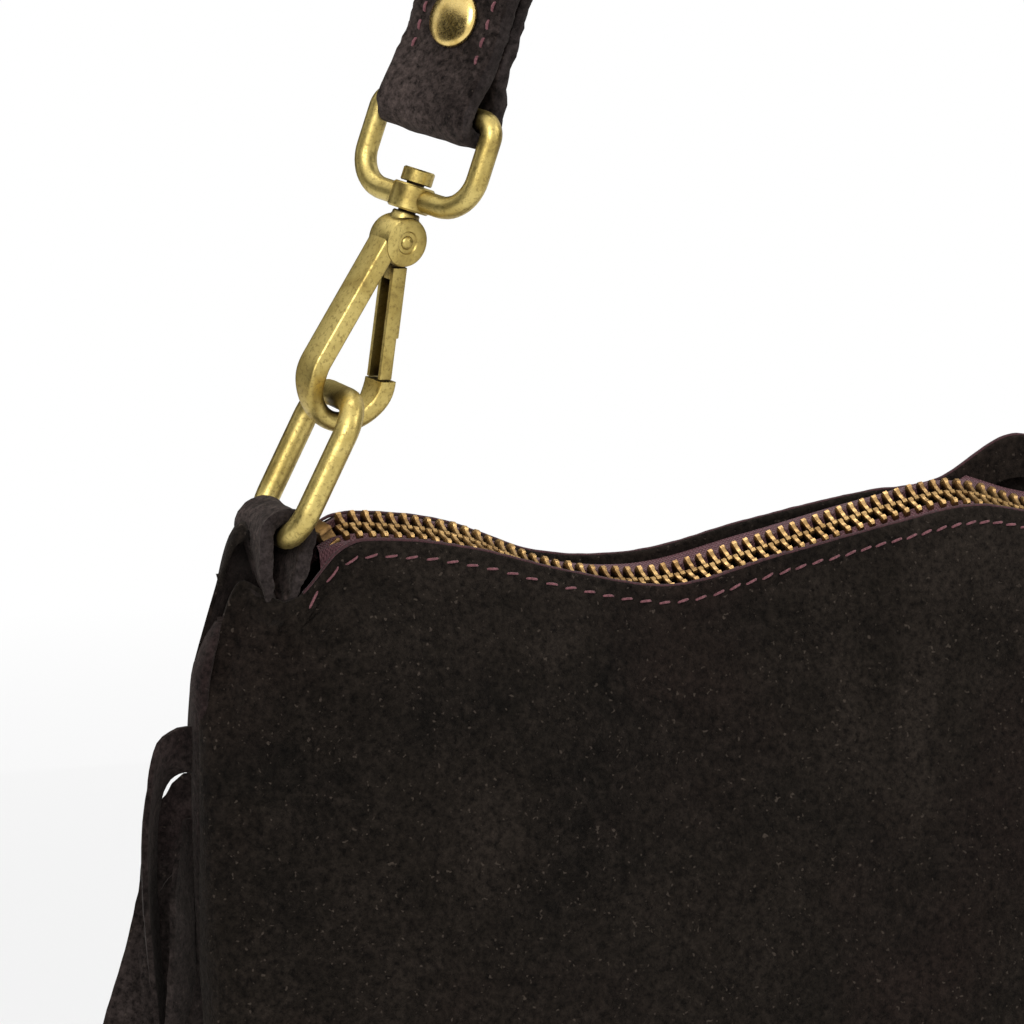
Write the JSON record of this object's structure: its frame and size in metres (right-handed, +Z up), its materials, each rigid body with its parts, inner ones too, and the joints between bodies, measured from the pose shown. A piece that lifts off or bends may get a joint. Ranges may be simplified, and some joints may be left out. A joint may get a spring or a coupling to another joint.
{
  "type": "fringed handbag",
  "caption": "Soft suede shoulder bag with a wavy zipped top, a fringed side seam at each end and a strap clipped by swivel snap hooks to oval rings in sewn tabs.",
  "frame": {"origin": "underside of the strap at its apex, where a hand or a peg carries the bag", "axes": "+X along the zip towards the slider, -Y to the front, +Z up"},
  "size_m": [0.338, 0.084, 0.4841],
  "materials": {
    "suede": "brushed nap, matte",
    "zip_tape": "woven",
    "zip_brass": "worn antique",
    "antique_brass": "antique, satin",
    "bright_brass": "polished"
  },
  "bodies": {
    "strap_body": {"strap": "suede", "left_loop": "antique_brass", "left_rivet_cap": "bright_brass", "left_rivet_base": "bright_brass", "right_loop": "antique_brass", "right_rivet_cap": "bright_brass", "right_rivet_base": "bright_brass"},
    "left_hook_body": {"left_hook": "antique_brass", "left_gate_pin": "antique_brass"},
    "left_gate_body": {"left_gate": "antique_brass"},
    "right_hook_body": {"right_hook": "antique_brass", "right_gate_pin": "antique_brass"},
    "right_gate_body": {"right_gate": "antique_brass"},
    "bag": {"front_panel": "suede", "back_panel": "suede", "base_panel": "suede", "zip_tape_front": "zip_tape", "zip_tape_back": "zip_tape", "zip_bottom_stop": "zip_brass", "zip_top_stop_front": "zip_brass", "zip_top_stop_back": "zip_brass", "left_tab": "suede", "right_tab": "suede", "left_fringe": "suede", "right_fringe": "suede"},
    "left_ring_body": {"left_ring": "antique_brass"},
    "right_ring_body": {"right_ring": "antique_brass"},
    "slider_body": {"zip_slider": "zip_brass"},
    "pull_body": {"zip_pull": "zip_brass"}
  },
  "joints": [
    {"name": "bag_swing", "type": "hinge", "parent": "strap_body", "child": "bag", "pos_m": [0, 0, -0.2539], "axis": [1, 0, 0], "range_deg": [-35, 35]},
    {"name": "left_swivel", "type": "hinge", "parent": "strap_body", "child": "left_hook_body", "pos_m": [-0.1185, 0, -0.25392], "axis": [0.3223, 0, 0.9466], "range_deg": [-38, 2]},
    {"name": "right_swivel", "type": "hinge", "parent": "strap_body", "child": "right_hook_body", "pos_m": [0.1185, 0, -0.25392], "axis": [-0.3223, 0, 0.9466], "range_deg": [-38, 2]},
    {"name": "left_gate_open", "type": "hinge", "parent": "left_hook_body", "child": "left_gate_body", "pos_m": [-0.10838, 0, -0.2242], "axis": [-0.2925, 0.9511, 0.0996], "range_deg": [0, 18], "stiffness_Nm_per_rad": 0.02, "springref_deg": -8.59},
    {"name": "right_gate_open", "type": "hinge", "parent": "right_hook_body", "child": "right_gate_body", "pos_m": [0.10838, 0, -0.2242], "axis": [0.2925, -0.9511, 0.0996], "range_deg": [0, 18], "stiffness_Nm_per_rad": 0.02, "springref_deg": -8.59},
    {"name": "left_ring_rock", "type": "hinge", "parent": "bag", "child": "left_ring_body", "pos_m": [-0.12974, 0, -0.27117], "axis": [0, 1, 0], "range_deg": [-1, 1]},
    {"name": "right_ring_rock", "type": "hinge", "parent": "bag", "child": "right_ring_body", "pos_m": [0.12974, 0, -0.27117], "axis": [0, 1, 0], "range_deg": [-1, 1]},
    {"name": "zip_slide", "type": "slide", "parent": "bag", "child": "slider_body", "axis": [0.9991, 0, 0.0432], "range_m": [-0.056, 0]},
    {"name": "pull_flip", "type": "hinge", "parent": "slider_body", "child": "pull_body", "pos_m": [0.10327, 0, -0.27241], "axis": [0, 1, 0], "range_deg": [0, 75]}
  ]
}
